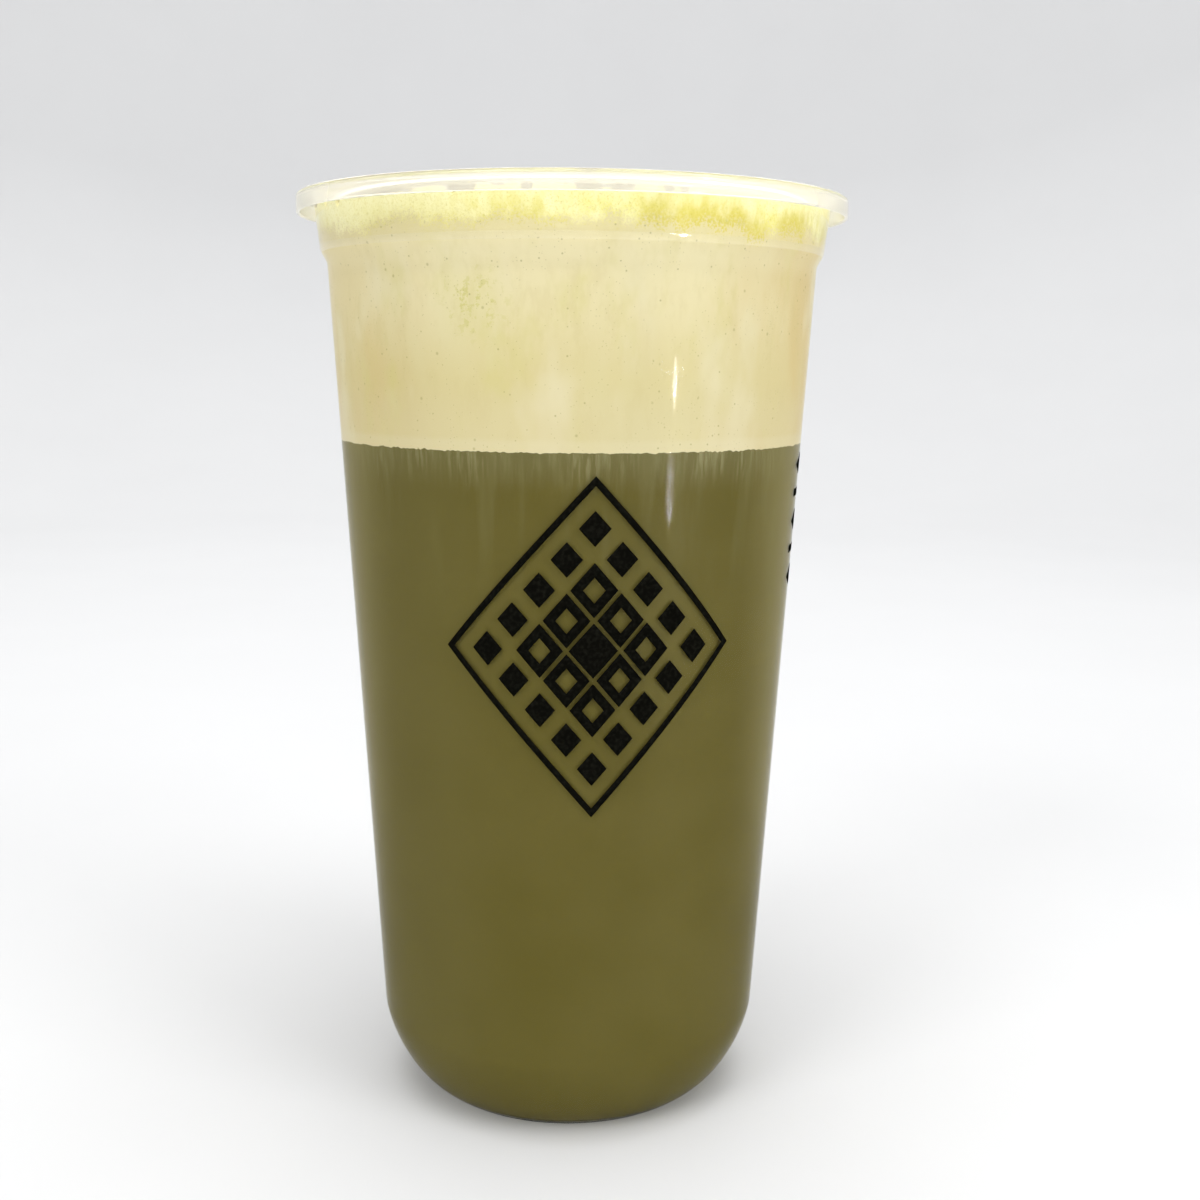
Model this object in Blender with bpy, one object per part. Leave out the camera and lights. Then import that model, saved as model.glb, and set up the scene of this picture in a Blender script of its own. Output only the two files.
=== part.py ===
"""A matcha latte in a clear plastic takeaway cup with no lid.

Metres, +Z up, the cup's foot ring on z = 0 and its axis on Z. Every piece is turned about that axis: the cup, the
green tea in its lower two thirds, the milk foam on the tea, and the matcha powder dusted over the foam, which has
crept down the wall under the rim by a different depth all the way round.
"""

import math
import random

import bmesh
import bpy

# The rim: a flat flange with a lip turned down all round it
RIM_RADIUS = 0.0475
CUP_HEIGHT = 0.1592
LIP_HEIGHT = 0.0032
LIP_THICKNESS = 0.0007
FLANGE_THICKNESS = 0.0008
RIM_ROUND = 0.0006
FLANGE_FILLET = 0.0009

# The wall: a straight taper, a small step out on which cups stack, and a steeper collar above it
WALL = 0.0007
BODY_RADIUS_AT_FLOOR = 0.03355
BODY_TAPER = 0.0603
STEP_LOW = 0.1476
STEP_HIGH = 0.1507
COLLAR_RADIUS = 0.0437
COLLAR_TAPER = 0.117

# The bottom: a rounded corner round a foot ring, with a shallow recess inside the ring
CORNER_HEIGHT = 0.0148
CORNER_POWER = 1.27
FOOT_OUTER = 0.0250
FOOT_INNER = 0.0215
FOOT_RECESS = 0.0012
RECESS_SLOPE = 0.0008
FLOOR_TOP = 0.0023
FLOOR_RADIUS = 0.0240

# The contents, from the floor up: tea, foam, and powder up to just under the rim
CLEARANCE = 0.0003
TEA_TOP = 0.1180
POWDER_TOP = 0.1575
POWDER_THICKNESS = 0.0009
SURFACE_BUMP = 0.00025
CREEP_DEPTH = 0.0047
CREEP_VARIATION = 0.0011
CREEP_WAVES = (3, 5, 8, 13)

SEGMENTS = 64
CORNER_STEPS = 8
ROUND_STEPS = 3
RING_FRACTIONS = (0.22, 0.44, 0.64, 0.80, 0.90, 0.95)
CREEP_STARTS = 0.90

random.seed(7)
CREEP_PHASES = [random.uniform(0, math.tau) for wave in CREEP_WAVES]
BUMPS = [
    (random.uniform(0, math.tau), random.uniform(0, math.tau), random.uniform(250, 600))
    for bump in range(6)
]


def linear(red, green, blue):
    """The colour that a screen shows as these 0 to 255 values, as Blender's linear values."""
    return [(channel / 255) ** 2.2 for channel in (red, green, blue)] + [1]


def material(name, colour, roughness, transmission=0.0):
    made = bpy.data.materials.new(name)
    made.use_nodes = True
    shader = made.node_tree.nodes["Principled BSDF"]
    shader.inputs["Base Color"].default_value = colour
    shader.inputs["Roughness"].default_value = roughness
    shader.inputs["Metallic"].default_value = 0.0
    shader.inputs["Transmission Weight"].default_value = transmission
    return made


def turned(name, profile_at, look):
    """A closed solid round Z. profile_at(angle) lists the (radius, height) points from the lower axis point to the
    upper one, or round to the lower one again for a hollow piece."""
    mesh = bmesh.new()
    columns = []
    for step in range(SEGMENTS):
        angle = math.tau * step / SEGMENTS
        columns.append([
            mesh.verts.new((radius * math.cos(angle), radius * math.sin(angle), height))
            for radius, height in profile_at(angle)
        ])
    for here, there in zip(columns, columns[1:] + columns[:1]):
        for low in range(len(here) - 1):
            mesh.faces.new((here[low], there[low], there[low + 1], here[low + 1]))
    bmesh.ops.remove_doubles(mesh, verts=mesh.verts, dist=1e-6)
    bmesh.ops.triangulate(mesh, faces=mesh.faces, quad_method="SHORT_EDGE")
    bmesh.ops.recalc_face_normals(mesh, faces=mesh.faces)
    data = bpy.data.meshes.new(name)
    mesh.to_mesh(data)
    mesh.free()
    data.materials.append(look)
    data.shade_smooth()
    data.set_sharp_from_angle(angle=math.radians(40))
    placed = bpy.data.objects.new(name, data)
    bpy.context.scene.collection.objects.link(placed)
    return placed


def arc(centre_radius, centre_height, size, start, end):
    """Points of a round in the profile, its angles in degrees measured from straight outwards."""
    return [
        (
            centre_radius + size * math.cos(math.radians(start + (end - start) * step / ROUND_STEPS)),
            centre_height + size * math.sin(math.radians(start + (end - start) * step / ROUND_STEPS)),
        )
        for step in range(ROUND_STEPS + 1)
    ]


def wall_radius(height):
    """Outer radius of the cup's wall above its bottom corner."""
    body = BODY_RADIUS_AT_FLOOR + BODY_TAPER * min(height, STEP_HIGH)
    if height <= STEP_LOW:
        return body
    if height >= STEP_HIGH:
        return COLLAR_RADIUS + COLLAR_TAPER * (height - STEP_HIGH)
    along = (height - STEP_LOW) / (STEP_HIGH - STEP_LOW)
    return body + (COLLAR_RADIUS - body) * along * along * (3 - 2 * along)


def wall(inset, low, high):
    """Profile points of the wall from one height up to another, this far in from its outside."""
    heights = [low]
    heights += [STEP_LOW + (STEP_HIGH - STEP_LOW) * step / 5 for step in range(6)]
    heights = [height for height in heights if low <= height < high] + [high]
    return [(wall_radius(height) - inset, height) for height in heights]


def corner(inset, start_radius, low, high):
    """Profile points of the bottom corner, from the flat of the floor up to where it meets the taper."""
    reach = wall_radius(low) - inset - start_radius
    points = []
    for step in range(CORNER_STEPS + 1):
        turn = math.pi / 2 * step / CORNER_STEPS
        height = low + (high - low) * (1 - math.cos(turn) ** CORNER_POWER)
        points.append((wall_radius(height) - inset - reach * (1 - math.sin(turn) ** CORNER_POWER), height))
    return points


def cup_profile():
    """Once round the cup's section: under the foot, up the outside, over the rim and down the inside."""
    under_flange = CUP_HEIGHT - FLANGE_THICKNESS
    fillet_low = under_flange - FLANGE_FILLET
    lip_low = CUP_HEIGHT - LIP_HEIGHT
    lip_inner = RIM_RADIUS - LIP_THICKNESS
    mouth = wall_radius(under_flange) - WALL
    points = [(0, FOOT_RECESS), (FOOT_INNER - RECESS_SLOPE, FOOT_RECESS), (FOOT_INNER, 0)]
    points += corner(0, FOOT_OUTER, 0, CORNER_HEIGHT)
    points += wall(0, CORNER_HEIGHT, fillet_low)[1:-1]
    points += arc(wall_radius(fillet_low) + FLANGE_FILLET, fillet_low, FLANGE_FILLET, 180, 90)
    points += [(lip_inner, under_flange), (lip_inner, lip_low + RIM_ROUND / 2)]
    points += [(lip_inner + RIM_ROUND / 3, lip_low), (RIM_RADIUS - RIM_ROUND / 3, lip_low)]
    points += [(RIM_RADIUS, lip_low + RIM_ROUND / 2)]
    points += arc(RIM_RADIUS - RIM_ROUND, CUP_HEIGHT - RIM_ROUND, RIM_ROUND, 0, 90)
    points += arc(mouth + RIM_ROUND, CUP_HEIGHT - RIM_ROUND, RIM_ROUND, 90, 180)
    points += wall(WALL, CORNER_HEIGHT, under_flange)[-2:0:-1]
    points += corner(WALL, FLOOR_RADIUS, FLOOR_TOP, CORNER_HEIGHT)[::-1]
    points += [(0, FLOOR_TOP)]
    return points


def surface_height(radius, angle):
    """Top of the powder: level, with slow bumps that die away at the wall."""
    x = radius * math.cos(angle)
    y = radius * math.sin(angle)
    bump = sum(
        math.cos(rate * (x * math.cos(way) + y * math.sin(way)) + phase) for way, phase, rate in BUMPS
    )
    return POWDER_TOP + SURFACE_BUMP * bump / len(BUMPS) * 2


def creep_height(angle):
    """Height down to which the powder has crept at the wall."""
    wave = sum(math.sin(count * angle + phase) for count, phase in zip(CREEP_WAVES, CREEP_PHASES))
    return POWDER_TOP - CREEP_DEPTH - CREEP_VARIATION * wave / 2


def content_radius(height):
    return wall_radius(height) - WALL - CLEARANCE


def powder_underside(angle, drop):
    """Profile points under the powder from the axis out to the wall, this far below it."""
    edge_height = creep_height(angle) - drop
    edge_radius = content_radius(edge_height)
    points = [(0, surface_height(0, 0) - POWDER_THICKNESS - drop)]
    for fraction in RING_FRACTIONS:
        radius = edge_radius * fraction
        flat = surface_height(radius, angle) - POWDER_THICKNESS - drop
        creep = max(0, (fraction - CREEP_STARTS) / (1 - CREEP_STARTS)) ** 1.5
        points.append((radius, flat + (edge_height - flat) * creep))
    return points + [(edge_radius, edge_height)]


def powder_profile(angle):
    """Under the powder and up its edge at the wall, then back over its top to the axis."""
    underside = powder_underside(angle, 0)
    low = underside[-1][1]
    top_radius = content_radius(POWDER_TOP)
    high = surface_height(top_radius, angle)
    side = [(content_radius(low + (high - low) * part), low + (high - low) * part) for part in (0.5, 1)]
    top = [(top_radius * part, surface_height(top_radius * part, angle)) for part in RING_FRACTIONS[::-1]]
    return underside + side + top + [(0, surface_height(0, 0))]


def foam_profile(angle):
    """Flat on the tea, up the wall, then over the top that the powder lies on."""
    top = powder_underside(angle, CLEARANCE)[::-1]
    bottom = TEA_TOP + CLEARANCE
    return [(0, bottom)] + wall(WALL + CLEARANCE, bottom, STEP_HIGH) + top


def tea_profile(angle):
    """The cup's inside up to the foam."""
    inset = WALL + CLEARANCE
    bottom = FLOOR_TOP + CLEARANCE
    points = [(0, bottom)] + corner(inset, FLOOR_RADIUS - CLEARANCE, bottom, CORNER_HEIGHT)
    return points + [(wall_radius(TEA_TOP) - inset, TEA_TOP), (0, TEA_TOP)]


for thing in list(bpy.data.objects):
    bpy.data.objects.remove(thing, do_unlink=True)

clear_plastic = material("clear_plastic", linear(250, 249, 240), 0.08, transmission=1.0)
green_tea = material("green_tea", linear(105, 99, 56), 0.35)
cream_foam = material("cream_foam", linear(233, 222, 175), 0.55)
matcha_powder = material("matcha_powder", linear(226, 220, 112), 0.85)

CUP_SECTION = cup_profile()
turned("cup", lambda angle: CUP_SECTION, clear_plastic)
turned("matcha_tea", tea_profile, green_tea)
turned("milk_foam", foam_profile, cream_foam)
turned("matcha_dusting", powder_profile, matcha_powder)
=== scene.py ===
import math
import random

import bmesh
import bpy
import numpy as np
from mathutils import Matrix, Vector, noise


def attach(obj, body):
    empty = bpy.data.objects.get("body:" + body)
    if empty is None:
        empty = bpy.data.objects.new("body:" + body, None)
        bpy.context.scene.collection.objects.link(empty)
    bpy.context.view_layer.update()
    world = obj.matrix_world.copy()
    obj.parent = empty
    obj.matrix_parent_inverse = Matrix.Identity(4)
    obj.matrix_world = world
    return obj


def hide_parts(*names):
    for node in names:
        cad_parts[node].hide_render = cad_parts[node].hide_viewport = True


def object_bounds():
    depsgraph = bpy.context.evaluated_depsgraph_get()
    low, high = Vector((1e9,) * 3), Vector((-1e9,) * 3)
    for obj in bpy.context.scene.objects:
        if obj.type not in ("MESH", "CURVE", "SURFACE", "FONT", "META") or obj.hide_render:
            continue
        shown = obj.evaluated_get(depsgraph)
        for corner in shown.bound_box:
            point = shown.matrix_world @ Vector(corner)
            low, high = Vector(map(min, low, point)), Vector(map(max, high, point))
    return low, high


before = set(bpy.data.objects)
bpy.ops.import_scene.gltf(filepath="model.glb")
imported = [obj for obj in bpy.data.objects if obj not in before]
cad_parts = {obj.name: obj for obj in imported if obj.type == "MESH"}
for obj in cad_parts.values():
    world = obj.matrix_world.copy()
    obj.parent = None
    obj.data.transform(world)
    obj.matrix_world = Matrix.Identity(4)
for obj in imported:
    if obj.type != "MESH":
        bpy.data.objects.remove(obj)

cad_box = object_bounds()

# The viewpoint. The photo was taken from about 26 cm in front of the cup, from a little below its rim and
# tipped some nine degrees down, with the cup just left of the middle.
PHOTO_SIDE = 1200
FOCAL_PIXELS = 1464.6
AXIS_PIXEL = 572.6
CAMERA_DISTANCE = 0.2636
CAMERA_HEIGHT = 0.1324
CAMERA_PITCH = 0.164
CAMERA_ROLL = -0.009

camera_aside = (PHOTO_SIDE / 2 - AXIS_PIXEL) / FOCAL_PIXELS * CAMERA_DISTANCE
camera = bpy.data.objects.new("camera", bpy.data.cameras.new("camera"))
camera.data.sensor_width = 36
camera.data.lens = FOCAL_PIXELS / PHOTO_SIDE * camera.data.sensor_width
camera.location = (camera_aside, -CAMERA_DISTANCE, CAMERA_HEIGHT)
camera.rotation_euler = (math.pi / 2 - CAMERA_PITCH, CAMERA_ROLL, 0)
bpy.context.scene.collection.objects.link(camera)
bpy.context.scene.camera = camera
bpy.context.scene.view_settings.view_transform = "Standard"


# The studio. A pale plaster floor curves up all round into a low wall, so that no edge of it shows. Large
# soft lamps hang over the front, the sides and the back, and three small ones make the cup's bright marks.
FLAT_RADIUS = 0.3
FLOOR_RADIUS = 0.9
COVE_RADIUS = 1.7
COVE_HEIGHT = 0.75
FLOOR_DROP = 0.0001
FLOOR_STEPS = 96
COVE_STEPS = 24
FLOOR_COLOUR = (226, 226, 226)
FLOOR_PALE = (230, 230, 230)
SKY_STRENGTH = 0.62


def linear(colour):
    """The colour that a screen shows as these 0 to 255 values, as Blender's linear values."""
    parts = [channel / 255 for channel in colour]
    return [p / 12.92 if p <= 0.04045 else ((p + 0.055) / 1.055) ** 2.4 for p in parts] + [1]


def placed(tree, kind, sockets=None, **settings):
    """Adds a shader node, sets what it is told, and links or fills its sockets by name or number."""
    made = tree.nodes.new("ShaderNode" + kind)
    for name, value in settings.items():
        setattr(made, name, value)
    for name, value in (sockets or {}).items():
        if isinstance(value, bpy.types.NodeSocket):
            tree.links.new(value, made.inputs[name])
        else:
            made.inputs[name].default_value = value
    return made


def new_material(name):
    """An empty material, its tree and its Principled shader, which already feeds the output."""
    made = bpy.data.materials.new(name)
    made.use_nodes = True
    return made, made.node_tree, made.node_tree.nodes["Principled BSDF"]


def fine_noise(tree, where, scale, detail=2.0, roughness=0.5):
    sockets = {"Vector": where, "Scale": scale, "Detail": detail, "Roughness": roughness}
    return placed(tree, "TexNoise", sockets).outputs[0]


def ramp(tree, value, low, high, to_low=0.0, to_high=1.0):
    """Value turned smoothly from one range into another."""
    sockets = {"Value": value, "From Min": low, "From Max": high, "To Min": to_low, "To Max": to_high}
    return placed(tree, "MapRange", sockets, interpolation_type="SMOOTHSTEP").outputs[0]


def times(tree, first, second):
    return placed(tree, "Math", {0: first, 1: second}, operation="MULTIPLY").outputs[0]


def tinted(tree, amount, under, over):
    """The under colour with the over colour laid on it by this amount."""
    made = placed(tree, "Mix", {0: amount}, data_type="RGBA")
    for number, colour in ((6, under), (7, over)):
        if isinstance(colour, bpy.types.NodeSocket):
            tree.links.new(colour, made.inputs[number])
        else:
            made.inputs[number].default_value = linear(colour)
    return made.outputs[2]


def lathe(name, radius, height):
    """Joins rows of profile points, one row for each step round Z, into one smooth mesh."""
    steps, count = radius.shape
    angle = np.arange(steps) * math.tau / steps
    points = np.stack((radius * np.cos(angle)[:, None], radius * np.sin(angle)[:, None], height), -1)
    here = np.arange(steps * count).reshape(steps, count)
    there = np.roll(here, -1, axis=0)
    faces = np.stack((here[:, :-1], there[:, :-1], there[:, 1:], here[:, 1:]), -1)
    mesh = bmesh.new()
    corners = [mesh.verts.new(point) for point in points.reshape(-1, 3).tolist()]
    for face in faces.reshape(-1, 4).tolist():
        mesh.faces.new([corners[number] for number in face])
    bmesh.ops.remove_doubles(mesh, verts=mesh.verts, dist=1e-6)
    return finished(name, mesh)


def finished(name, mesh):
    """Puts a bmesh in the scene as a smooth-shaded object."""
    data = bpy.data.meshes.new(name)
    mesh.to_mesh(data)
    mesh.free()
    data.shade_smooth()
    data.set_sharp_from_angle(angle=math.radians(48))
    made = bpy.data.objects.new(name, data)
    bpy.context.scene.collection.objects.link(made)
    return made


def softbox(name, place, towards, width, height, watts, shape="RECTANGLE", through_plastic=False,
            shine_only=False):
    lamp = bpy.data.lights.new(name, "AREA")
    lamp.shape = shape
    lamp.size = width
    lamp.size_y = height
    lamp.energy = watts
    made = bpy.data.objects.new(name, lamp)
    made.location = place
    made.rotation_euler = (Vector(towards) - Vector(place)).to_track_quat("-Z", "Y").to_euler()
    made.visible_transmission = through_plastic
    made.visible_diffuse = not shine_only
    bpy.context.scene.collection.objects.link(made)


plaster, tree, shader = new_material("pale_plaster")
where = placed(tree, "TexCoord").outputs["Object"]
mottle = fine_noise(tree, where, 9.0, 4.0)
tree.links.new(tinted(tree, mottle, FLOOR_COLOUR, FLOOR_PALE), shader.inputs["Base Color"])
shader.inputs["Roughness"].default_value = 0.8
shader.inputs["Specular IOR Level"].default_value = 0.2

turn = np.linspace(0, math.pi / 2, COVE_STEPS)
cove_radius = FLOOR_RADIUS + (COVE_RADIUS - FLOOR_RADIUS) * np.sin(turn[1:])
cove_radius = np.concatenate(([0, FLAT_RADIUS, FLOOR_RADIUS], cove_radius))
cove_height = np.concatenate(([0, 0, 0], COVE_HEIGHT * (1 - np.cos(turn[1:])))) - FLOOR_DROP
floor = lathe("floor", np.tile(cove_radius, (FLOOR_STEPS, 1)), np.tile(cove_height, (FLOOR_STEPS, 1)))
floor.data.materials.append(plaster)

middle = (0, 0, 0.08)
softbox("overhead", (0.1, -0.25, 1.15), middle, 0.9, 0.9, 6.3)
softbox("front_left", (-0.85, -0.95, 0.95), middle, 0.6, 0.6, 6)
softbox("front_right", (0.95, -0.7, 0.8), middle, 0.6, 0.6, 4.4)
softbox("behind", (-0.1, 1.1, 0.9), middle, 1.2, 0.5, 3.2, through_plastic=True)
softbox("backdrop_lamp", (0.0, 0.45, 1.3), (0.0, 1.65, 0.35), 1.4, 0.4, 1.3)
softbox("small_lamp", (0.34, -0.31, 0.0757), (0.015, -0.037, 0.13), 0.018, 0.022, 0.52, "ELLIPSE",
        shine_only=True)
softbox("low_strip", (0.34, -0.31, 0.0287), (0.015, -0.037, 0.112), 0.028, 0.034, 0.52, "ELLIPSE",
        shine_only=True)
softbox("step_strip", (0.3627, -0.3442, 0.0757), (0.0171, -0.0406, 0.1503), 0.1, 0.006, 0.09,
        shine_only=True)

sky = bpy.data.worlds.new("sky")
sky.use_nodes = True
sky.node_tree.nodes["Background"].inputs["Color"].default_value = (0.97, 0.98, 1.0, 1)
sky.node_tree.nodes["Background"].inputs["Strength"].default_value = SKY_STRENGTH
bpy.context.scene.world = sky


# The cup. Clear polypropylene, injection-moulded in one shot: a foot ring round a recess with the gate mark,
# a rounded corner, a straight taper, a step on which cups stack, a steeper collar, and a flat flange with a
# lip turned down for the sealing machine to hold. The flange is hazier than the thin wall.
RIM_RADIUS = cad_box[1][0]
CUP_HEIGHT = cad_box[1][2]
LIP_HEIGHT = 0.0032
LIP_THICKNESS = 0.0007
FLANGE_THICKNESS = 0.0008
RIM_ROUND = 0.0006
FLANGE_FILLET = 0.0009
WALL = 0.0007
BODY_RADIUS_AT_FLOOR = 0.03355
BODY_TAPER = 0.0603
STEP_LOW = 0.1476
STEP_HIGH = 0.1507
COLLAR_RADIUS = 0.0437
COLLAR_TAPER = 0.117
CORNER_HEIGHT = 0.0148
CORNER_POWER = 1.27
FOOT_OUTER = 0.0250
FOOT_INNER = 0.0215
FOOT_RECESS = 0.0012
RECESS_SLOPE = 0.0008
FLOOR_TOP = 0.0023
FLOOR_RADIUS_INSIDE = 0.0240
GATE_RADIUS = 0.0022
GATE_DEPTH = 0.0004
FOOT_ROUND = 0.0002
CUP_STEPS = 288
WALL_ROW_COUNT = 34
CORNER_ROW_COUNT = 26
WALL_BENDING = 1.06
COLLAR_BENDING = 1.3
STEP_BENDING = 1.35
RIM_BENDING = 1.42
RIM_HAZE = 0.28
STEP_HAZE = 0.07
STEP_LINE = 0.0011
PLASTIC_TINT = (255, 252, 241)
LAMP_TINT = (250, 251, 248)


def wall_radius(height):
    """Outer radius of the cup's wall above its bottom corner, for a number or an array of heights."""
    height = np.asarray(height, float)
    body = BODY_RADIUS_AT_FLOOR + BODY_TAPER * np.minimum(height, STEP_HIGH)
    along = np.clip((height - STEP_LOW) / (STEP_HIGH - STEP_LOW), 0, 1)
    collar = COLLAR_RADIUS + COLLAR_TAPER * np.maximum(height - STEP_HIGH, 0)
    return body + (collar - body) * along * along * (3 - 2 * along)


def wall_rows(inset, low, high, count):
    """Profile points up the wall, closer together over the step."""
    heights = np.concatenate((np.linspace(low, high, count), np.linspace(STEP_LOW, STEP_HIGH, 12)))
    heights = np.unique(heights[(heights >= low) & (heights <= high)])
    return [(float(wall_radius(height)) - inset, float(height)) for height in heights]


def corner_rows(inset, start_radius, low, high, count):
    """Profile points of the bottom corner, from the flat of the floor up to where it meets the taper."""
    reach = float(wall_radius(low)) - inset - start_radius
    points = []
    for step in range(count + 1):
        quarter = math.pi / 2 * step / count
        height = low + (high - low) * (1 - max(0, math.cos(quarter)) ** CORNER_POWER)
        radius = float(wall_radius(height)) - inset - reach * (1 - math.sin(quarter) ** CORNER_POWER)
        points.append((radius, height))
    return points


def round_rows(centre_radius, centre_height, size, start, end, count=7):
    """Profile points of a round, its angles in degrees measured from straight outwards."""
    angles = np.radians(np.linspace(start, end, count))
    return [(centre_radius + size * math.cos(a), centre_height + size * math.sin(a)) for a in angles]


under_flange = CUP_HEIGHT - FLANGE_THICKNESS
fillet_low = under_flange - FLANGE_FILLET
lip_low = CUP_HEIGHT - LIP_HEIGHT
lip_inner = RIM_RADIUS - LIP_THICKNESS
lip_round = LIP_THICKNESS * 0.45
mouth = float(wall_radius(under_flange)) - WALL
section = [(0, FOOT_RECESS - GATE_DEPTH), (GATE_RADIUS * 0.7, FOOT_RECESS - GATE_DEPTH)]
section += [(GATE_RADIUS, FOOT_RECESS), (FOOT_INNER - RECESS_SLOPE - 2 * FOOT_ROUND, FOOT_RECESS)]
section += [(FOOT_INNER - RECESS_SLOPE, FOOT_RECESS - FOOT_ROUND)]
section += [(FOOT_INNER - FOOT_ROUND * 1.5, FOOT_ROUND), (FOOT_INNER + FOOT_ROUND * 1.5, 0)]
section += corner_rows(0, FOOT_OUTER, 0, CORNER_HEIGHT, CORNER_ROW_COUNT)
section += wall_rows(0, CORNER_HEIGHT, fillet_low, WALL_ROW_COUNT)[1:-1]
section += round_rows(float(wall_radius(fillet_low)) + FLANGE_FILLET, fillet_low, FLANGE_FILLET, 180, 90)
section += round_rows(lip_inner - lip_round, under_flange - lip_round, lip_round, 90, 0, 4)
section += round_rows(lip_inner + lip_round, lip_low + lip_round, lip_round, 180, 270, 4)
section += round_rows(RIM_RADIUS - lip_round, lip_low + lip_round, lip_round, 270, 360, 4)
section += round_rows(RIM_RADIUS - RIM_ROUND, CUP_HEIGHT - RIM_ROUND, RIM_ROUND, 0, 90)
section += round_rows(mouth + RIM_ROUND, CUP_HEIGHT - RIM_ROUND, RIM_ROUND, 90, 180)
section += wall_rows(WALL, CORNER_HEIGHT, under_flange, WALL_ROW_COUNT)[-2:0:-1]
section += corner_rows(WALL, FLOOR_RADIUS_INSIDE, FLOOR_TOP, CORNER_HEIGHT, CORNER_ROW_COUNT)[::-1]
section += [(0, FLOOR_TOP)]
profile = np.array(section)
cup = lathe("clear_cup", np.tile(profile[:, 0], (CUP_STEPS, 1)), np.tile(profile[:, 1], (CUP_STEPS, 1)))


def clear_plastic(name, haze, haze_roughness, bending):
    """Clear moulded plastic. Light from the lamps goes straight through it to what it holds. Bending is its
    refractive index, set below the real one so that as little of the room shows in it as in the photo."""
    made, tree, shader = new_material(name)
    where = placed(tree, "TexCoord").outputs["Object"]
    drawn = placed(tree, "Mapping", {"Vector": where, "Scale": (1, 1, 0.12)}).outputs[0]
    flow = fine_noise(tree, drawn, 45.0, 2.0)
    roughness = ramp(tree, flow, 0.35, 0.75, haze_roughness, haze_roughness + 0.02)
    tree.links.new(roughness, shader.inputs["Roughness"])
    flow_relief = placed(tree, "Bump", {"Height": flow, "Strength": 0.03, "Distance": 0.001}).outputs[0]
    tree.links.new(flow_relief, shader.inputs["Normal"])
    shader.inputs["Base Color"].default_value = linear(PLASTIC_TINT)
    shader.inputs["IOR"].default_value = bending
    shader.inputs["Transmission Weight"].default_value = 1 - haze
    through = placed(tree, "BsdfTransparent", {"Color": linear(LAMP_TINT)}).outputs[0]
    lamp_ray = placed(tree, "LightPath").outputs["Is Shadow Ray"]
    both = placed(tree, "MixShader", {0: lamp_ray, 1: shader.outputs[0], 2: through}).outputs[0]
    tree.links.new(both, tree.nodes["Material Output"].inputs["Surface"])
    return made


cup.data.materials.append(clear_plastic("clear_wall_plastic", 0.0, 0.02, WALL_BENDING))
cup.data.materials.append(clear_plastic("hazy_rim_plastic", RIM_HAZE, 0.06, RIM_BENDING))
cup.data.materials.append(clear_plastic("step_plastic", STEP_HAZE, 0.04, STEP_BENDING))
cup.data.materials.append(clear_plastic("collar_plastic", 0.0, 0.02, COLLAR_BENDING))
for face in cup.data.polygons:
    out = math.hypot(face.center.x, face.center.y) - wall_radius(face.center.z)
    if face.center.z > fillet_low or out > WALL / 2:
        face.material_index = 1
    elif STEP_HIGH - STEP_LINE < face.center.z < STEP_HIGH and out > -WALL / 2:
        face.material_index = 2
    elif face.center.z > STEP_HIGH and out > -WALL / 2:
        face.material_index = 3
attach(cup, "root")
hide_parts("cup")


# The tea. Whisked matcha in milk, about two thirds of what the cup holds: opaque, olive green, a little
# uneven, with pale threads of cream just under the foam. It reaches just into the wall, so no gap shows.
TEA_TOP = 0.1180
WETTING = 0.00015
INSIDE_FOOT = 0.0006
UNDER_FOAM = 0.0008
TEA_LID_INSET = 0.003
TEA_STEPS = 256
TEA_DARK = (93, 86, 40)
TEA_LIGHT = (97, 90, 45)
TEA_UNDER_FOAM = (116, 113, 80)
# The next two colours are painted reflection: lighter tea at the left and at both sides, standing in for the
# room reflected in the wall.
TEA_LEFT_PAINTED_REFLECTION = (110, 104, 63)
TEA_SIDES_PAINTED_REFLECTION = (129, 122, 79)
CREAM_THREADS = (146, 142, 108)
CREAM_TRAILS = (122, 118, 80)

tea_inset = WALL - WETTING
rows = [(0, FLOOR_TOP - WETTING), (FOOT_INNER - RECESS_SLOPE, FLOOR_TOP - WETTING)]
rows += [(FOOT_INNER + RECESS_SLOPE / 2, INSIDE_FOOT)]
rows += corner_rows(tea_inset, FOOT_OUTER - tea_inset, INSIDE_FOOT, CORNER_HEIGHT, 22)
rows += wall_rows(tea_inset, CORNER_HEIGHT, TEA_TOP + UNDER_FOAM, 40)[1:]
rows += [(float(wall_radius(TEA_TOP)) - TEA_LID_INSET, TEA_TOP + UNDER_FOAM), (0, TEA_TOP + UNDER_FOAM)]
profile = np.array(rows)
tea = lathe("tea_body", np.tile(profile[:, 0], (TEA_STEPS, 1)), np.tile(profile[:, 1], (TEA_STEPS, 1)))

green_tea, tree, shader = new_material("milky_green_tea")
where = placed(tree, "TexCoord").outputs["Object"]
height = placed(tree, "SeparateXYZ", {0: where}).outputs["Z"]
cloud = ramp(tree, fine_noise(tree, where, 70.0, 3.0), 0.3, 0.7)
colour = tinted(tree, cloud, TEA_DARK, TEA_LIGHT)
trailing = placed(tree, "Mapping", {"Vector": where, "Scale": (1, 1, 0.1)}).outputs[0]
threads = ramp(tree, fine_noise(tree, trailing, 1300.0, 3.0, 0.6), 0.42, 0.68)
near_foam = ramp(tree, height, TEA_TOP - 0.0070, TEA_TOP + 0.0010)
bunched = ramp(tree, fine_noise(tree, trailing, 240.0, 1.0), 0.38, 0.62, 0.35, 1.0)
colour = tinted(tree, times(tree, near_foam, 0.55), colour, TEA_UNDER_FOAM)
threads = times(tree, times(tree, threads, bunched), near_foam)
colour = tinted(tree, times(tree, threads, 0.8), colour, CREAM_THREADS)
soft_trails = ramp(tree, fine_noise(tree, trailing, 320.0, 2.0), 0.45, 0.75)
upper = ramp(tree, height, TEA_TOP - 0.03, TEA_TOP)
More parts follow.
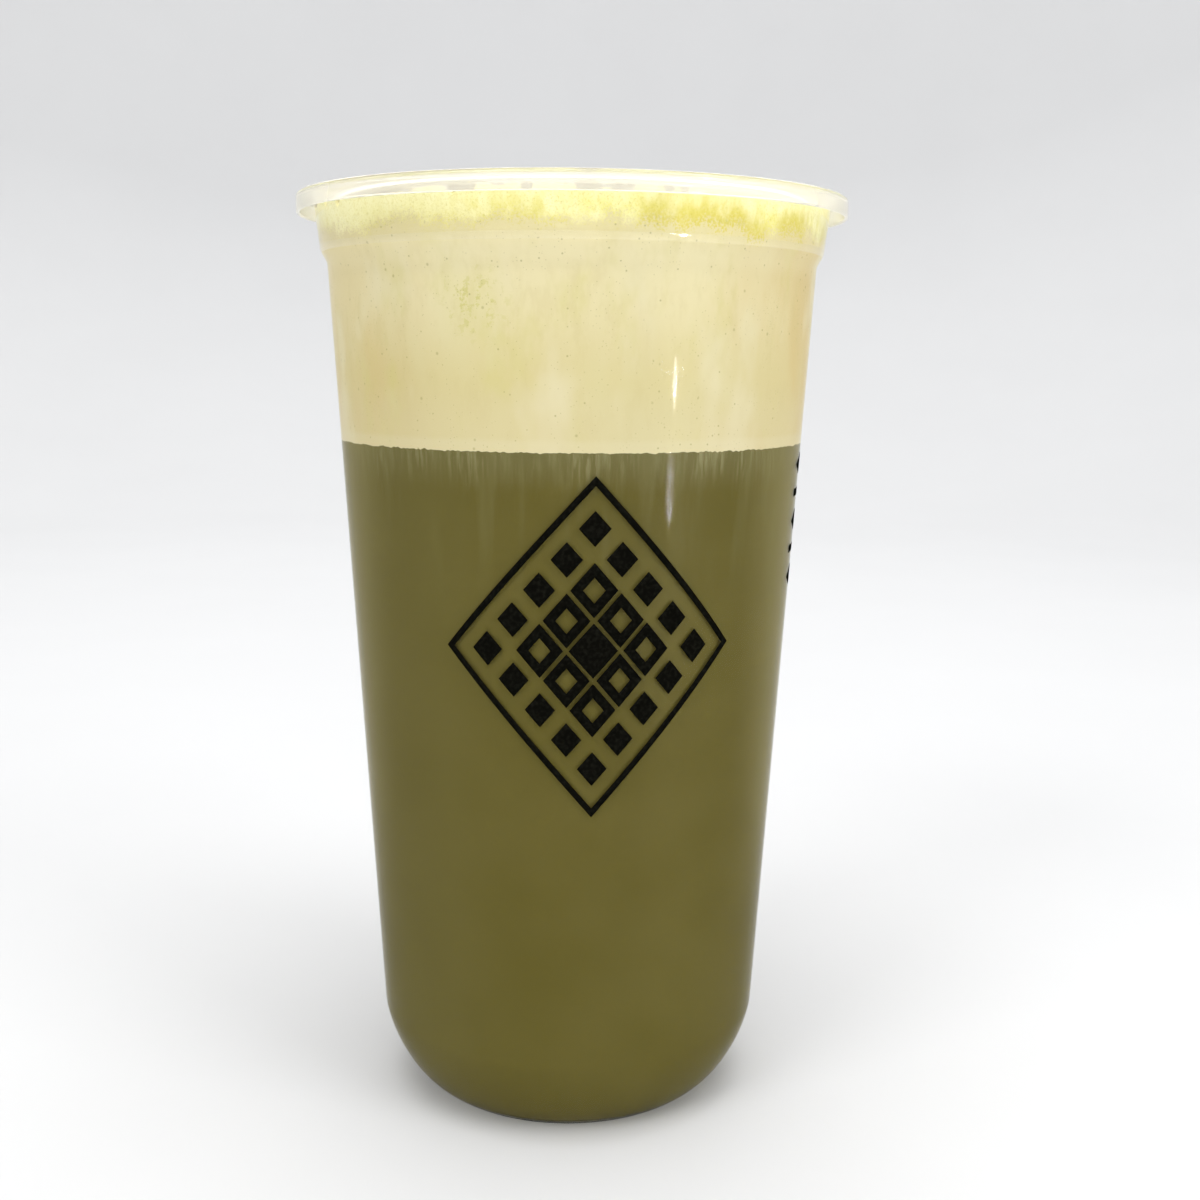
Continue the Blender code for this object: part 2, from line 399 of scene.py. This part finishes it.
colour = tinted(tree, times(tree, times(tree, soft_trails, upper), 0.35), colour, CREAM_TRAILS)
# Painted reflection: lighter tea towards the left, and at both sides above the bottom, where the wall would
# reflect the room.
across = placed(tree, "SeparateXYZ", {0: where}).outputs["X"]
colour = tinted(tree, ramp(tree, across, -0.004, -0.026, 0.0, 0.35), colour, TEA_LEFT_PAINTED_REFLECTION)
aside = placed(tree, "Math", {0: across}, operation="ABSOLUTE").outputs[0]
painted_sides = times(tree, ramp(tree, aside, 0.0275, 0.039), ramp(tree, height, 0.03, 0.06))
colour = tinted(tree, times(tree, painted_sides, 0.8), colour, TEA_SIDES_PAINTED_REFLECTION)
tree.links.new(colour, shader.inputs["Base Color"])
shader.inputs["Roughness"].default_value = 0.5
shader.inputs["Specular IOR Level"].default_value = 0.05
tea.data.materials.append(green_tea)
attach(tea, "root")
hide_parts("matcha_tea")


# The milk foam. Cream whipped thick and poured on the tea, where it floats about 4 cm deep. Its
# lower edge is slightly ragged where it drags on the wall. It holds clouds of powder and fine dark specks.
FOAM_STEPS = 1024
POWDER_TOP = 0.1575
CREEP_DEPTH = 0.0047
CREEP_VARIATION = 0.0011
CREEP_WAVES = (3, 5, 8, 13)
CREEP_STARTS = 0.90
UNDER_POWDER = 0.001
STEP_BRIDGE = 0.1455
RAGGED = 0.00022
FOAM_INTO_WALL = 0.00004
FOAM_INTO_TEA = 0.0004
FOAM_BASE_INSET = 0.002
FOAM_LID_DROP = 0.0015

random.seed(7)
creep_phases = [random.uniform(0, math.tau) for wave in CREEP_WAVES]
around = np.arange(FOAM_STEPS) * math.tau / FOAM_STEPS


def round_noise(angle, radius, scale, seed):
    """Smooth noise that closes on itself round the cup, from -1 to 1."""
    x = math.cos(angle) * radius * scale
    y = math.sin(angle) * radius * scale
    return noise.noise(Vector((x, y, seed)))


creep = sum(np.sin(count * around + phase) for count, phase in zip(CREEP_WAVES, creep_phases))
creep_edge = POWDER_TOP - CREEP_DEPTH - CREEP_VARIATION * creep / 2
ragged = np.array([
    RAGGED * (round_noise(a, 0.04, 1500, 3.0) + 0.6 * round_noise(a, 0.04, 400, 9.0)) for a in around
])
foam_inset = WALL - WETTING - FOAM_INTO_WALL
foam_low = TEA_TOP + ragged
share = np.linspace(0, 1, 48)
side_height = foam_low[:, None] + (creep_edge + UNDER_POWDER - foam_low)[:, None] * share
bridge = np.interp(side_height, (STEP_BRIDGE, STEP_HIGH), wall_radius((STEP_BRIDGE, STEP_HIGH)))
bridge = np.where((side_height > STEP_BRIDGE) & (side_height < STEP_HIGH), bridge, 0)
side_radius = np.maximum(wall_radius(side_height), bridge) - foam_inset
edge = side_radius[:, -1:]
lid_share = np.array([0.98, CREEP_STARTS, 0.6, 0.0])
lid_height = np.stack([creep_edge + UNDER_POWDER] + [np.full(FOAM_STEPS, POWDER_TOP - FOAM_LID_DROP)] * 3, -1)
base = np.stack([side_radius[:, 0] * 0, side_radius[:, 0] - FOAM_BASE_INSET], -1)
foam_radius = np.concatenate((base, side_radius, edge * lid_share), 1)
base_height = np.full((FOAM_STEPS, 2), TEA_TOP - FOAM_INTO_TEA)
foam_height = np.concatenate((base_height, side_height, lid_height), 1)
foam = lathe("foam_body", foam_radius, foam_height)

EDGE_WANDER = 0.0065
DRIP_LENGTH = 0.0045
GRAIN_SCATTER = 0.0055


def powder_cover():
    """Group: how thickly the powder lies at the wall. It thins out downwards in a grainy edge that hangs in
    short drips, with darker clumps along it here and there."""
    group = bpy.data.node_groups.new("powder_cover", "ShaderNodeTree")
    for name, kind, way in (
        ("Position", "NodeSocketVector", "INPUT"),
        ("Edge Height", "NodeSocketFloat", "INPUT"),
        ("Fade", "NodeSocketFloat", "INPUT"),
        ("Cover", "NodeSocketFloat", "OUTPUT"),
        ("Clumps", "NodeSocketFloat", "OUTPUT"),
        ("Paleness", "NodeSocketFloat", "OUTPUT"),
        ("Grains", "NodeSocketFloat", "OUTPUT"),
    ):
        group.interface.new_socket(name, in_out=way, socket_type=kind)
    given = group.nodes.new("NodeGroupInput").outputs
    result = group.nodes.new("NodeGroupOutput").inputs
    height = placed(group, "SeparateXYZ", {0: given["Position"]}).outputs["Z"]
    hanging = placed(group, "Mapping", {"Vector": given["Position"], "Scale": (1, 1, 0.6)}).outputs[0]
    slow = fine_noise(group, hanging, 85.0, 2.0)
    drips = fine_noise(group, hanging, 420.0, 3.0, 0.6)
    grains = fine_noise(group, given["Position"], 2800.0, 2.0, 0.6)
    depth = height
    for part, reach in ((slow, EDGE_WANDER), (drips, DRIP_LENGTH), (grains, GRAIN_SCATTER)):
        moved = placed(group, "Math", {0: part, 1: reach, 2: -reach / 2}, operation="MULTIPLY_ADD").outputs[0]
        depth = placed(group, "Math", {0: depth, 1: moved}, operation="ADD").outputs[0]
    depth = placed(group, "Math", {0: depth, 1: given["Edge Height"]}, operation="SUBTRACT").outputs[0]
    depth = placed(group, "Math", {0: depth, 1: given["Fade"]}, operation="DIVIDE").outputs[0]
    group.links.new(ramp(group, depth, -0.6, 0.6), result["Cover"])
    along_edge = times(group, ramp(group, depth, -0.9, 0.1), ramp(group, depth, 1.9, 0.3))
    blotches = ramp(group, fine_noise(group, hanging, 150.0, 1.0), 0.36, 0.53)
    stipple = ramp(group, grains, 0.32, 0.66, 0.5, 1.0)
    group.links.new(times(group, times(group, along_edge, blotches), stipple), result["Clumps"])
    group.links.new(ramp(group, drips, 0.32, 0.72), result["Paleness"])
    group.links.new(ramp(group, grains, 0.50, 0.66), result["Grains"])
    return group


cover_group = powder_cover()

COVER_EDGE = 0.1529
COVER_FADE = 0.0020
FOAM_CREAM = (212, 204, 161)
POWDER_BRIGHT = (235, 231, 152)
POWDER_PALE = (247, 245, 208)
POWDER_DEEP = (212, 200, 88)
FOAM_TAN = (208, 195, 146)
FOAM_UPPER_PAINTED_LIGHT = (233, 226, 195)
FOAM_SIDES_PAINTED_SHADE = (206, 184, 130)
FOAM_GREEN = (206, 199, 136)
FOAM_CURDS = (200, 188, 138)
FOAM_SMEARS = (223, 216, 187)
FOAM_AT_STEP_PAINTED_LIGHT = (243, 236, 202)
FOAM_AT_COLLAR_PAINTED_LIGHT = (220, 211, 165)
FOAM_LOW = (212, 202, 168)
FOAM_AT_TEA = (221, 214, 186)
SPECKS = (132, 124, 58)
GREEN_FLECKS = (190, 186, 96)
GREEN_PATCH = (-0.0140, -0.0395, 0.1405)
GREEN_PATCH_REACH = 0.0085


def powdered(tree, where, foam):
    """The foam's colour with the powder over it, where it lies at the wall."""
    cover = placed(tree, "Group", node_tree=cover_group)
    tree.links.new(where, cover.inputs["Position"])
    cover.inputs["Edge Height"].default_value = COVER_EDGE
    cover.inputs["Fade"].default_value = COVER_FADE
    powder = tinted(tree, cover.outputs["Paleness"], POWDER_BRIGHT, POWDER_PALE)
    parts = placed(tree, "SeparateXYZ", {0: where}).outputs
    near_rim = ramp(tree, parts["Z"], COVER_EDGE + 0.0008, COVER_EDGE + 0.0034)
    powder = tinted(tree, times(tree, near_rim, 0.5), powder, POWDER_PALE)
    thin_side = ramp(tree, parts["X"], -0.006, -0.026, 0.0, 0.8)
    powder = tinted(tree, thin_side, powder, POWDER_PALE)
    powder = tinted(tree, times(tree, cover.outputs["Grains"], 0.3), powder, POWDER_DEEP)
    colour = tinted(tree, cover.outputs["Cover"], foam, powder)
    thick_side = ramp(tree, parts["X"], -0.022, 0.024, 0.3, 0.9)
    return tinted(tree, times(tree, cover.outputs["Clumps"], thick_side), colour, POWDER_DEEP)


def foam_colour(tree, where):
    """Cream with soft tan and green-yellow clouds, streaks and flecks, paler smears, and fine dark specks
    that gather in places. Painted light makes it paler towards the top and over the step, and painted shade
    makes it a darker tan at the left and right sides."""
    parts = placed(tree, "SeparateXYZ", {0: where}).outputs
    height = parts["Z"]
    hanging = placed(tree, "Mapping", {"Vector": where, "Scale": (1, 1, 0.5)}).outputs[0]
    # Painted shade: a darker tan towards the left and right sides of the cup.
    sideways = placed(tree, "Math", {0: parts["X"]}, operation="ABSOLUTE").outputs[0]
    painted_sides = ramp(tree, sideways, 0.018, 0.038)
    tan = ramp(tree, fine_noise(tree, hanging, 60.0, 3.0), 0.38, 0.66)
    colour = tinted(tree, times(tree, tan, 0.5), FOAM_CREAM, FOAM_TAN)
    # Painted light: paler towards the top, to lift the shade that the flange casts there.
    upper = ramp(tree, height, STEP_LOW - 0.020, STEP_LOW - 0.004)
    colour = tinted(tree, times(tree, upper, 0.55), colour, FOAM_UPPER_PAINTED_LIGHT)
    painted_sides = times(tree, painted_sides, ramp(tree, tan, 0.0, 1.0, 0.45, 1.0))
    colour = tinted(tree, times(tree, painted_sides, 0.7), colour, FOAM_SIDES_PAINTED_SHADE)
    green = ramp(tree, fine_noise(tree, hanging, 95.0, 4.0, 0.62), 0.50, 0.72)
    colour = tinted(tree, times(tree, green, 0.6), colour, FOAM_GREEN)
    streaks = placed(tree, "Mapping", {"Vector": where, "Scale": (1, 1, 0.45)}).outputs[0]
    curds = ramp(tree, fine_noise(tree, streaks, 260.0, 4.0, 0.7), 0.48, 0.70)
    colour = tinted(tree, times(tree, curds, 0.25), colour, FOAM_CURDS)
    away = placed(tree, "VectorMath", {0: where, 1: GREEN_PATCH}, operation="DISTANCE").outputs["Value"]
    flecks = ramp(tree, fine_noise(tree, where, 640.0, 4.0, 0.7), 0.50, 0.64)
    patch = times(tree, ramp(tree, away, GREEN_PATCH_REACH, 0.001), ramp(tree, flecks, 0.0, 1.0, 0.25, 1.0))
    colour = tinted(tree, times(tree, patch, 0.6), colour, GREEN_FLECKS)
    pale = ramp(tree, fine_noise(tree, hanging, 75.0, 3.0, 0.6), 0.50, 0.70)
    colour = tinted(tree, times(tree, pale, 0.7), colour, FOAM_SMEARS)
    # Painted light: paler over the step, where its slope turns the foam away from the lamps.
    painted_light_under_step = ramp(tree, height, STEP_BRIDGE - 0.0006, STEP_BRIDGE + 0.0022)
    colour = tinted(tree, times(tree, painted_light_under_step, 0.2), colour, FOAM_AT_STEP_PAINTED_LIGHT)
    # Painted light on the foam at the top of the step, which the flange shades.
    collar = ramp(tree, height, STEP_HIGH - 0.0012, STEP_HIGH - 0.0002)
    colour = tinted(tree, times(tree, collar, 0.4), colour, FOAM_AT_COLLAR_PAINTED_LIGHT)
    low = ramp(tree, height, TEA_TOP + 0.012, TEA_TOP + 0.003)
    colour = tinted(tree, times(tree, low, 0.35), colour, FOAM_LOW)
    near_tea = ramp(tree, height, TEA_TOP + 0.0024, TEA_TOP + 0.0012)
    colour = tinted(tree, times(tree, near_tea, 0.3), colour, FOAM_AT_TEA)
    gathered = ramp(tree, fine_noise(tree, where, 120.0, 2.0), 0.40, 0.68)
    for size, share, strength in ((1150.0, 0.16, 0.45), (700.0, 0.07, 0.35), (2100.0, 0.34, 0.32)):
        cells = placed(tree, "TexVoronoi", {"Vector": where, "Scale": size})
        dots = ramp(tree, cells.outputs["Distance"], 0.24, 0.10)
        chosen = placed(tree, "SeparateColor", {0: cells.outputs["Color"]}).outputs[0]
        some = {0: gathered, 1: share, 2: share * 0.2}
        wanted = placed(tree, "Math", some, operation="MULTIPLY_ADD").outputs[0]
        taken = placed(tree, "Math", {0: chosen, 1: wanted}, operation="LESS_THAN").outputs[0]
        colour = tinted(tree, times(tree, times(tree, dots, taken), strength), colour, SPECKS)
    return colour


milk_foam, tree, shader = new_material("milk_foam")
where = placed(tree, "TexCoord").outputs["Object"]
tree.links.new(powdered(tree, where, foam_colour(tree, where)), shader.inputs["Base Color"])
shader.inputs["Roughness"].default_value = 0.6
shader.inputs["Specular IOR Level"].default_value = 0.05
foam.data.materials.append(milk_foam)
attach(foam, "root")
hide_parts("milk_foam")


# The powder. Matcha sifted over the foam up to the rim: it lies in a thin grainy layer, has soaked in, and
# has crept down between the foam and the wall to a bright band with an uneven lower edge.
POWDER_STEPS = 768
POWDER_RIM_RADIUS = 0.0438
PIT_CIRCLE_RADIUS = 0.0435
POWDER_RINGS = 84
GRAIN = 0.00009
CLUMP = 0.00022
EDGE_RISE = 0.00035
CLIMB = 0.0003
RIM_UNEVEN = 0.0002
POWDER_BASE_DROP = 0.0012
LOW_EDGE_ROUND = 0.0001
SUNK_SIDE = math.radians(-136)
SUNK_SPREAD = 0.24
SUNK_DEPTH = 2.6
FRONT_BUBBLES = (
    (-23.5, 0.0009), (-19.0, 0.0012), (-13.0, 0.0010),
    (-7.8, 0.0023), (4.0, 0.0044), (9.8, 0.0023),
)
EDGE_BUBBLES = 70
SMALLEST_BUBBLE = 0.0005
BUBBLE_SPREAD = 0.0017
PIT_DEPTH = 0.0011
POWDER_INTO_WALL = 0.00006
PIT_REACH = 0.0007
PIT_SHARE = 0.46
FULL_PIT_WIDTH = 0.002

# Bearings round the cup and widths of the bubbles at the wall, first the ones that show at the front
bubble_places = [(math.radians(-90 + turn), width) for turn, width in FRONT_BUBBLES]
random.seed(23)
for number in range(EDGE_BUBBLES):
    bearing = random.uniform(0, math.tau)
    width = SMALLEST_BUBBLE + BUBBLE_SPREAD * random.random() ** 3
    bubble_places.append((bearing, width))

turn_round = np.arange(POWDER_STEPS) * math.tau / POWDER_STEPS
low_edge = np.interp(turn_round, np.append(around, math.tau), np.append(creep_edge, creep_edge[0]))
sunk = np.exp(-((np.angle(np.exp(1j * (turn_round - SUNK_SIDE))) / SUNK_SPREAD) ** 2))
rim_level = POWDER_TOP + CLIMB * (1 - SUNK_DEPTH * sunk)
rim_level += np.array([RIM_UNEVEN * round_noise(a, 0.043, 90, 5.0) for a in turn_round])
for bearing, width in bubble_places:
    off = np.angle(np.exp(1j * (turn_round - bearing))) * PIT_CIRCLE_RADIUS
    reach = max(PIT_SHARE * width, PIT_REACH)
    rim_level -= PIT_DEPTH * min(1, width / FULL_PIT_WIDTH) * np.exp(-((off / reach) ** 4))
powder_inset = WALL - WETTING - POWDER_INTO_WALL
share = np.linspace(0, 1, 12)
side_height = low_edge[:, None] + (rim_level - low_edge)[:, None] * share
side_radius = wall_radius(side_height) - powder_inset
ring = np.linspace(1, 0, POWDER_RINGS)[1:] ** 0.85
top_radius = side_radius[:, -1:] * ring
top_height = np.empty_like(top_radius)
for step, angle in enumerate(turn_round):
    for number, part in enumerate(ring):
        point = Vector((math.cos(angle), math.sin(angle), 0)) * top_radius[step, number]
        rise = (rim_level[step] - POWDER_TOP + EDGE_RISE) * math.exp(-(1 - part) * 45) - EDGE_RISE
        bump = CLUMP * noise.noise(point * 260) + CLUMP * 1.4 * noise.noise(point * 90)
        bump += GRAIN * noise.noise(point * 1300)
        top_height[step, number] = POWDER_TOP + rise + bump * min(1, (1 - part) * 25)
top_height[:, -1] = top_height[:, -1].mean()
under_share = np.array([0.0, 0.6, CREEP_STARTS - 0.02, 0.965])
under_radius = side_radius[:, :1] * under_share
base_height = np.full(POWDER_STEPS, POWDER_TOP - POWDER_BASE_DROP)
under_height = np.stack([base_height] * 3 + [low_edge + LOW_EDGE_ROUND], -1)
powder_radius = np.concatenate((under_radius, side_radius, top_radius), 1)
powder_height = np.concatenate((under_height, side_height, top_height), 1)
powder_layer = lathe("powder_layer", powder_radius, powder_height)

DUST = (190, 182, 60)
TOP_THIN = (214, 206, 158)
TOP_MIDDLE = (186, 182, 90)
TOP_THICK = (152, 152, 60)
TOP_SPECKS = (128, 130, 46)

matcha_powder, tree, shader = new_material("matcha_powder")
where = placed(tree, "TexCoord").outputs["Object"]
dust = fine_noise(tree, where, 2600.0, 2.0)
colour = powdered(tree, where, foam_colour(tree, where))
colour = tinted(tree, ramp(tree, dust, 0.55, 0.8, 0.0, 0.35), colour, DUST)
sifted = fine_noise(tree, where, 620.0, 4.0, 0.65)
drift = fine_noise(tree, where, 70.0, 3.0)
thick = placed(tree, "Math", {0: sifted, 1: drift}, operation="ADD").outputs[0]
on_top = tinted(tree, ramp(tree, thick, 0.84, 1.04), TOP_THIN, TOP_MIDDLE)
on_top = tinted(tree, ramp(tree, thick, 1.04, 1.25), on_top, TOP_THICK)
on_top = tinted(tree, ramp(tree, dust, 0.52, 0.72, 0.0, 0.5), on_top, TOP_SPECKS)
flat = placed(tree, "Mapping", {"Vector": where, "Scale": (1, 1, 0)}).outputs[0]
from_axis = placed(tree, "VectorMath", {0: flat}, operation="LENGTH").outputs["Value"]
wander = placed(tree, "Math", {0: sifted, 1: 0.0016, 2: from_axis}, operation="MULTIPLY_ADD").outputs[0]
inside_rim = ramp(tree, wander, POWDER_RIM_RADIUS + 0.0006, POWDER_RIM_RADIUS - 0.0006)
colour = tinted(tree, inside_rim, colour, on_top)
tree.links.new(colour, shader.inputs["Base Color"])
grain_relief = placed(tree, "Bump", {"Height": dust, "Strength": 0.5, "Distance": 0.0001}).outputs[0]
tree.links.new(grain_relief, shader.inputs["Normal"])
shader.inputs["Roughness"].default_value = 0.9
shader.inputs["Specular IOR Level"].default_value = 0.1
powder_layer.data.materials.append(matcha_powder)
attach(powder_layer, "root")
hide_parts("matcha_dusting")


# Loose grains and clumps of matcha, on the powder and a few stuck to the inside of the collar over it.
# Each is a small uneven lump of sifted powder.
GRAINS_ON_TOP = 3200
GRAINS_ON_WALL = 120
GRAIN_SIZES = (0.00010, 0.00030)
WALL_GRAINS_FROM = 0.0001
WALL_GRAINS_CLIMB = 0.0004
GRAIN_PALE = (196, 192, 98)
GRAIN_DARK = (132, 134, 50)

lump = bmesh.new()
bmesh.ops.create_icosphere(lump, subdivisions=1, radius=1)
lump_points = np.array([point.co for point in lump.verts])
lump_faces = np.array([[corner.index for corner in face.verts] for face in lump.faces])
lump.free()
chance = np.random.default_rng(11)


def top_level(radius, angle):
    """Height of the powder's top there, read from its rows of points."""
    column = int(round((angle % math.tau) / math.tau * POWDER_STEPS)) % POWDER_STEPS
    return float(np.interp(radius, top_radius[column][::-1], top_height[column][::-1]))


def lumps(name, centres, sizes):
    """One mesh of small uneven lumps, each turned and stretched its own way."""
    points = []
    faces = []
    for number, (centre, size) in enumerate(zip(centres, sizes)):
        stretch = chance.uniform(0.6, 1.25, (len(lump_points), 1)) * chance.uniform(0.7, 1.2, 3)
        tip = chance.uniform(0, math.tau)
        spin = np.array([[math.cos(tip), -math.sin(tip), 0], [math.sin(tip), math.cos(tip), 0], [0, 0, 1]])
        points.append(lump_points * stretch @ spin * size + centre)
        faces.append(lump_faces + number * len(lump_points))
    mesh = bpy.data.meshes.new(name)
    mesh.from_pydata(np.concatenate(points).tolist(), [], np.concatenate(faces).tolist())
    mesh.shade_smooth()
    made = bpy.data.objects.new(name, mesh)
    bpy.context.scene.collection.objects.link(made)
    return made


centres = []
while len(centres) < GRAINS_ON_TOP:
    angle = chance.uniform(0, math.tau)
    radius = float(wall_radius(POWDER_TOP) - WALL) * math.sqrt(chance.uniform(0, 0.985))
    x, y = radius * math.cos(angle), radius * math.sin(angle)
    if noise.noise(Vector((x, y, 0)) * 120) + chance.uniform(-0.35, 0.35) > -0.1:
        centres.append((x, y, top_level(radius, angle)))
for number in range(GRAINS_ON_WALL):
    angle = chance.uniform(0, math.tau)
    height = POWDER_TOP + chance.exponential(WALL_GRAINS_CLIMB) + WALL_GRAINS_FROM
    radius = float(wall_radius(height)) - WALL
    centres.append((radius * math.cos(angle), radius * math.sin(angle), min(height, under_flange)))
sizes = GRAIN_SIZES[0] + (GRAIN_SIZES[1] - GRAIN_SIZES[0]) * chance.beta(1.2, 3.5, len(centres))
grains = lumps("powder_grains", centres, sizes)

grain_colour, tree, shader = new_material("matcha_grains")
where = placed(tree, "TexCoord").outputs["Object"]
shade = ramp(tree, fine_noise(tree, where, 900.0, 1.0), 0.35, 0.65)
tree.links.new(tinted(tree, shade, GRAIN_PALE, GRAIN_DARK), shader.inputs["Base Color"])
shader.inputs["Roughness"].default_value = 0.95
shader.inputs["Specular IOR Level"].default_value = 0.1
grains.data.materials.append(grain_colour)
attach(grains, "root")


# The bubbles. Thin films of milk that stand on the foam where it meets the wall, single or in small groups.
# The largest are at the front, and two long ones lie under the flange on the left.
FRONT = -math.pi / 2
LONG_BUBBLES = ((-47, 0.0190, 0.0013, 0.1578), (-31, 0.0240, 0.0005, 0.1582))
LONG_BUBBLE_DEPTH = 0.0016
FILM_SHINE = (255, 253, 235)
FILM_TINT_AND_PAINTED_SHADE = (226, 221, 209)

bubbles = bmesh.new()


def bubble(bearing, along, upward, inward, level):
    """A flattened bubble, bent along the inside of the wall."""
    inside = float(wall_radius(level)) - WALL
    for point in bmesh.ops.create_uvsphere(bubbles, u_segments=20, v_segments=12, radius=0.5)["verts"]:
        angle = bearing + point.co.y * along / inside
        radius = inside + (point.co.x - 0.46) * inward
        point.co = (radius * math.cos(angle), radius * math.sin(angle), level + point.co.z * upward)


for bearing, width in bubble_places:
    level = POWDER_TOP + CLIMB - 0.35 * PIT_DEPTH * min(1, width / FULL_PIT_WIDTH)
    bubble(bearing, width, width * 0.6, width * 0.84, level)
for turn, along, upward, level in LONG_BUBBLES:
    bubble(FRONT + math.radians(turn), along, upward, LONG_BUBBLE_DEPTH, level)
film = finished("edge_bubbles", bubbles)

bubble_film, tree, shader = new_material("bubble_film")
tree.nodes.remove(shader)
shine = placed(tree, "BsdfGlossy", {"Color": linear(FILM_SHINE), "Roughness": 0.05}).outputs[0]
# The film's grey tint is partly the milk film's own and partly painted shade, darkening the pits seen through
# the bubbles.
clear = placed(tree, "BsdfTransparent", {"Color": linear(FILM_TINT_AND_PAINTED_SHADE)}).outputs[0]
rim_of_bubble = placed(tree, "LayerWeight", {"Blend": 0.25}).outputs["Facing"]
amount = ramp(tree, rim_of_bubble, 0.2, 1.0, 0.04, 0.55)
both = placed(tree, "MixShader", {0: amount, 1: clear, 2: shine}).outputs[0]
tree.links.new(both, tree.nodes["Material Output"].inputs["Surface"])
film.data.materials.append(bubble_film)
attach(film, "root")


# The print. Black ink screened on the outside of the wall: a plain ornament of lozenges in a thin frame on
# the front, and a short column of lozenges and bars on the right side.
PRINT_BEARING = math.radians(6.4)
PRINT_HEIGHT = 0.0870
PRINT_HALF_WIDTH = 0.0235
PRINT_HALF_HEIGHT = 0.0268
FRAME_LINE = 0.0010
LATTICE_STEP = (0.00425, 0.00485)
LATTICE_SIZES = (0.92, 0.82, 0.58)
RING_LINE = 0.0015
SIDE_BEARING = math.radians(80)
SIDE_HEIGHT = 0.1048
SIDE_PITCH = 0.0049
SIDE_HALF_WIDTH = 0.0044
SIDE_HALF_HEIGHT = 0.0019
SIDE_BAR = 0.0013
INK_LIFT = 0.00001
INK_THICKNESS = 0.00002
INK_STEP = 0.0007
INK_BLACK = (11, 11, 8)
INK_THIN = (24, 24, 19)


def inked(mesh, outline, widths, bearing, middle_height, closed=False):
    """A band of ink along these points, in metres across and up the wall, with its width at each."""
    points = [Vector(point) for point in outline]
    count = len(points)
    sides = []
    for number, point in enumerate(points):
        before = points[number - 1] if closed or number else None
        after = points[(number + 1) % count] if closed or number < count - 1 else None
        into = (point - before).normalized() if before is not None else (after - point).normalized()
        away = (after - point).normalized() if after is not None else into
        across = Vector((-(into + away).y, (into + away).x)).normalized()
        mitre = across / max(0.3, across.dot(Vector((-into.y, into.x)))) * widths[number] / 2
        sides.append((point + mitre, point - mitre))
    for number in range(count if closed else count - 1):
        (left, right), (next_left, next_right) = sides[number], sides[(number + 1) % count]
        pieces = max(1, math.ceil((points[(number + 1) % count] - points[number]).length / INK_STEP))
        cuts = max(1, math.ceil(max(widths) / INK_STEP / 2))
        rows = []
        for part in range(pieces + 1):
            one = left.lerp(next_left, part / pieces)
            other = right.lerp(next_right, part / pieces)
            row = []
            for cut in range(cuts + 1):
                spot = one.lerp(other, cut / cuts)
                height = middle_height + spot.y
                angle = FRONT + bearing + spot.x / float(wall_radius(middle_height))
                radius = float(wall_radius(height)) + INK_LIFT
                row.append(mesh.verts.new((radius * math.cos(angle), radius * math.sin(angle), height)))
            rows.append(row)
        for low, high in zip(rows, rows[1:]):
            for cut in range(cuts):
                mesh.faces.new((low[cut], low[cut + 1], high[cut + 1], high[cut]))


def lozenge(mesh, x, y, half_width, half_height, bearing, middle_height):
    """A solid lozenge of ink."""
    outline = ((x - half_width, y), (x, y), (x + half_width, y))
    inked(mesh, outline, (0, half_height * 2, 0), bearing, middle_height)


def lozenge_line(mesh, x, y, half_width, half_height, line, bearing, middle_height):
    """The outline of a lozenge in ink."""
    corners = ((x, y + half_height), (x + half_width, y), (x, y - half_height), (x - half_width, y))
    inked(mesh, corners, [line] * 4, bearing, middle_height, closed=True)


ink = bmesh.new()
lozenge_line(ink, 0, 0, PRINT_HALF_WIDTH, PRINT_HALF_HEIGHT, FRAME_LINE, PRINT_BEARING, PRINT_HEIGHT)
across, upward = LATTICE_STEP
for one in range(-2, 3):
    for other in range(-2, 3):
        ring = max(abs(one), abs(other))
        x, y = (one - other) * across, (one + other) * upward
        size = LATTICE_SIZES[ring]
        if ring == 1:
            half = (across * size - RING_LINE / 2, upward * size - RING_LINE / 2)
            lozenge_line(ink, x, y, *half, RING_LINE, PRINT_BEARING, PRINT_HEIGHT)
        else:
            lozenge(ink, x, y, across * size, upward * size, PRINT_BEARING, PRINT_HEIGHT)
for number in range(5):
    y = (number - 2) * SIDE_PITCH
    if number % 2:
        ends = ((-SIDE_HALF_WIDTH, y), (SIDE_HALF_WIDTH, y))
        inked(ink, ends, (SIDE_BAR, SIDE_BAR), SIDE_BEARING, SIDE_HEIGHT)
    else:
        lozenge(ink, 0, y, SIDE_HALF_WIDTH, SIDE_HALF_HEIGHT, SIDE_BEARING, SIDE_HEIGHT)
bmesh.ops.remove_doubles(ink, verts=ink.verts, dist=1e-6)
bmesh.ops.recalc_face_normals(ink, faces=ink.faces)
for face in ink.faces:
    if face.normal.dot(Vector((face.calc_center_median().x, face.calc_center_median().y, 0))) < 0:
        face.normal_flip()
print_ink = finished("printed_ornament", ink)
thicken = print_ink.modifiers.new("ink_thickness", "SOLIDIFY")
thicken.thickness = INK_THICKNESS
thicken.offset = 1

black_ink, tree, shader = new_material("black_ink")
where = placed(tree, "TexCoord").outputs["Object"]
screen = fine_noise(tree, where, 1800.0, 2.0)
ink_colour = tinted(tree, ramp(tree, screen, 0.4, 0.8), INK_BLACK, INK_THIN)
tree.links.new(ink_colour, shader.inputs["Base Color"])
tree.links.new(ramp(tree, screen, 0.3, 0.8, 0.5, 0.7), shader.inputs["Roughness"])
shader.inputs["Specular IOR Level"].default_value = 0.0
print_ink.data.materials.append(black_ink)
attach(print_ink, "root")
